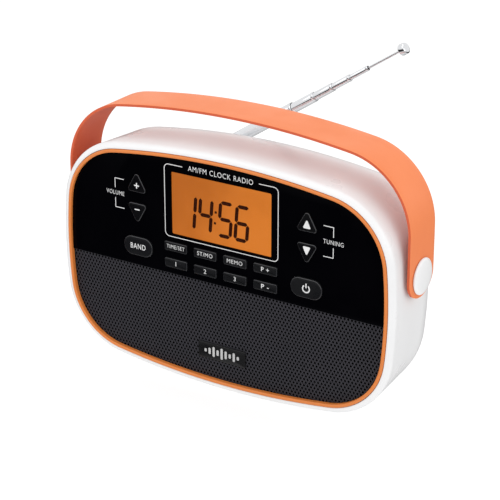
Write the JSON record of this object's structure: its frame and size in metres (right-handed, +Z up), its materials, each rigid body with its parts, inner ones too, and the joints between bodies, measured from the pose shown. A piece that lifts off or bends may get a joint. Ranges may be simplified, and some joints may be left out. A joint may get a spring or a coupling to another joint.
{
  "type": "tabletop radio",
  "caption": "Portable tabletop radio with rounded white casing, orange strap handle, perforated lower grille, lit amber clock display, push buttons and telescopic antenna.",
  "frame": {"origin": "on the standing surface, in the middle of the width and depth", "axes": "+X to the right of someone facing the radio, +Y from the face to the back, +Z up"},
  "size_m": [0.2432, 0.072, 0.2165],
  "materials": {
    "casing_white": "smooth white moulded plastic, satin gloss",
    "strap_orange": "soft orange moulded plastic, satin",
    "trim_orange": "glossy orange plastic",
    "panel_black": "polished black plastic",
    "window_clear": "clear acrylic window",
    "lcd_amber": "amber liquid crystal display",
    "backlight_amber": "amber light guide",
    "grille_black": "perforated black steel",
    "badge_plate": "dark metallic badge",
    "button_black": "satin black plastic",
    "rubber_black": "black rubber",
    "nylon_white": "white nylon",
    "steel": "zinc-plated steel",
    "chrome": "bright chrome plating",
    "board_green": "green circuit board",
    "ferrite": "dark grey sintered ferrite",
    "paper_black": "black pressed paper pulp"
  },
  "bodies": {
    "casing": {"badge": "badge_plate", "battery_contact_lower": "steel", "battery_contact_upper": "steel", "battery_tray": "casing_white", "case_screw_1": "steel", "case_screw_2": "steel", "case_screw_3": "steel", "case_screw_4": "steel", "display_panel": "panel_black", "ferrite_rod": "ferrite", "foot_1": "rubber_black", "foot_2": "rubber_black", "foot_3": "rubber_black", "foot_4": "rubber_black", "front_shell": "casing_white", "handle_bush_left": "nylon_white", "handle_bush_right": "nylon_white", "handle_cap_left": "casing_white", "handle_cap_right": "casing_white", "handle_washer_left": "nylon_white", "handle_washer_right": "nylon_white", "keypad_mat": "rubber_black", "lcd_backlight": "backlight_amber", "lcd_glass": "lcd_amber", "lcd_window": "window_clear", "main_board": "board_green", "mains_inlet": "panel_black", "mains_transformer": "steel", "rear_shell": "casing_white", "speaker_basket": "steel", "speaker_cone": "paper_black", "speaker_dust_cap": "paper_black", "speaker_grille": "grille_black", "speaker_magnet": "ferrite", "trim_ring": "trim_orange"},
    "handle": {"handle_strap": "strap_orange"},
    "battery_door": {"battery_door": "casing_white"},
    "antenna_base": {"antenna_turret": "chrome", "antenna_pin": "chrome"},
    "antenna_arm": {"antenna_knuckle": "chrome", "antenna_tube_1": "chrome"},
    "antenna_section_2": {"antenna_tube_2": "chrome"},
    "antenna_section_3": {"antenna_tube_3": "chrome"},
    "antenna_section_4": {"antenna_tube_4": "chrome"},
    "antenna_section_5": {"antenna_tube_5": "chrome"},
    "antenna_tip": {"antenna_rod": "chrome"},
    "key_volume_up": {"button_volume_up": "button_black"},
    "key_volume_down": {"button_volume_down": "button_black"},
    "key_tuning_up": {"button_tuning_up": "button_black"},
    "key_tuning_down": {"button_tuning_down": "button_black"},
    "key_band": {"button_band": "button_black"},
    "key_power": {"button_power": "button_black"},
    "key_time": {"button_time": "button_black"},
    "key_store": {"button_store": "button_black"},
    "key_memo": {"button_memo": "button_black"},
    "key_preset_up": {"button_preset_up": "button_black"},
    "key_preset_1": {"button_preset_1": "button_black"},
    "key_preset_2": {"button_preset_2": "button_black"},
    "key_preset_3": {"button_preset_3": "button_black"},
    "key_preset_down": {"button_preset_down": "button_black"}
  },
  "joints": [
    {"name": "handle_swing", "type": "hinge", "parent": "casing", "child": "handle", "pos_m": [0, -0.00775, 0.09505], "axis": [1, 0, 0], "range_deg": [-15, 110]},
    {"name": "battery_door_hinge", "type": "hinge", "parent": "casing", "child": "battery_door", "pos_m": [-0.033, 0.02575, 0.02405], "axis": [-1, 0, 0], "range_deg": [0, 90]},
    {"name": "antenna_swivel", "type": "hinge", "parent": "casing", "child": "antenna_base", "pos_m": [-0.0787, 0.03225, 0.1067], "axis": [0, 1, 0], "range_deg": [-146.6, 33.4]},
    {"name": "antenna_tilt", "type": "hinge", "parent": "antenna_base", "child": "antenna_arm", "pos_m": [-0.0787, 0.03225, 0.1067], "axis": [-0.5505, 0, 0.8348], "range_deg": [0, 90]},
    {"name": "antenna_slide_2", "type": "slide", "parent": "antenna_arm", "child": "antenna_section_2", "axis": [0.8348, 0, 0.5505], "range_m": [-0.0165, 0.066]},
    {"name": "antenna_slide_3", "type": "slide", "parent": "antenna_section_2", "child": "antenna_section_3", "axis": [0.8348, 0, 0.5505], "range_m": [-0.0129, 0.067]},
    {"name": "antenna_slide_4", "type": "slide", "parent": "antenna_section_3", "child": "antenna_section_4", "axis": [0.8348, 0, 0.5505], "range_m": [-0.0121, 0.066]},
    {"name": "antenna_slide_5", "type": "slide", "parent": "antenna_section_4", "child": "antenna_section_5", "axis": [0.8348, 0, 0.5505], "range_m": [-0.0125, 0.064]},
    {"name": "antenna_slide_6", "type": "slide", "parent": "antenna_section_5", "child": "antenna_tip", "axis": [0.8348, 0, 0.5505], "range_m": [-0.021, 0.056]},
    {"name": "press_volume_up", "type": "slide", "parent": "casing", "child": "key_volume_up", "axis": [0, 1, 0], "range_m": [0, 0.0008], "stiffness_N_per_m": 1500},
    {"name": "press_volume_down", "type": "slide", "parent": "casing", "child": "key_volume_down", "axis": [0, 1, 0], "range_m": [0, 0.0008], "stiffness_N_per_m": 1500},
    {"name": "press_tuning_up", "type": "slide", "parent": "casing", "child": "key_tuning_up", "axis": [0, 1, 0], "range_m": [0, 0.0008], "stiffness_N_per_m": 1500},
    {"name": "press_tuning_down", "type": "slide", "parent": "casing", "child": "key_tuning_down", "axis": [0, 1, 0], "range_m": [0, 0.0008], "stiffness_N_per_m": 1500},
    {"name": "press_band", "type": "slide", "parent": "casing", "child": "key_band", "axis": [0, 1, 0], "range_m": [0, 0.0008], "stiffness_N_per_m": 1500},
    {"name": "press_power", "type": "slide", "parent": "casing", "child": "key_power", "axis": [0, 1, 0], "range_m": [0, 0.0008], "stiffness_N_per_m": 1500},
    {"name": "press_time", "type": "slide", "parent": "casing", "child": "key_time", "axis": [0, 1, 0], "range_m": [0, 0.0008], "stiffness_N_per_m": 1500},
    {"name": "press_store", "type": "slide", "parent": "casing", "child": "key_store", "axis": [0, 1, 0], "range_m": [0, 0.0008], "stiffness_N_per_m": 1500},
    {"name": "press_memo", "type": "slide", "parent": "casing", "child": "key_memo", "axis": [0, 1, 0], "range_m": [0, 0.0008], "stiffness_N_per_m": 1500},
    {"name": "press_preset_up", "type": "slide", "parent": "casing", "child": "key_preset_up", "axis": [0, 1, 0], "range_m": [0, 0.0008], "stiffness_N_per_m": 1500},
    {"name": "press_preset_1", "type": "slide", "parent": "casing", "child": "key_preset_1", "axis": [0, 1, 0], "range_m": [0, 0.0008], "stiffness_N_per_m": 1500},
    {"name": "press_preset_2", "type": "slide", "parent": "casing", "child": "key_preset_2", "axis": [0, 1, 0], "range_m": [0, 0.0008], "stiffness_N_per_m": 1500},
    {"name": "press_preset_3", "type": "slide", "parent": "casing", "child": "key_preset_3", "axis": [0, 1, 0], "range_m": [0, 0.0008], "stiffness_N_per_m": 1500},
    {"name": "press_preset_down", "type": "slide", "parent": "casing", "child": "key_preset_down", "axis": [0, 1, 0], "range_m": [0, 0.0008], "stiffness_N_per_m": 1500}
  ]
}
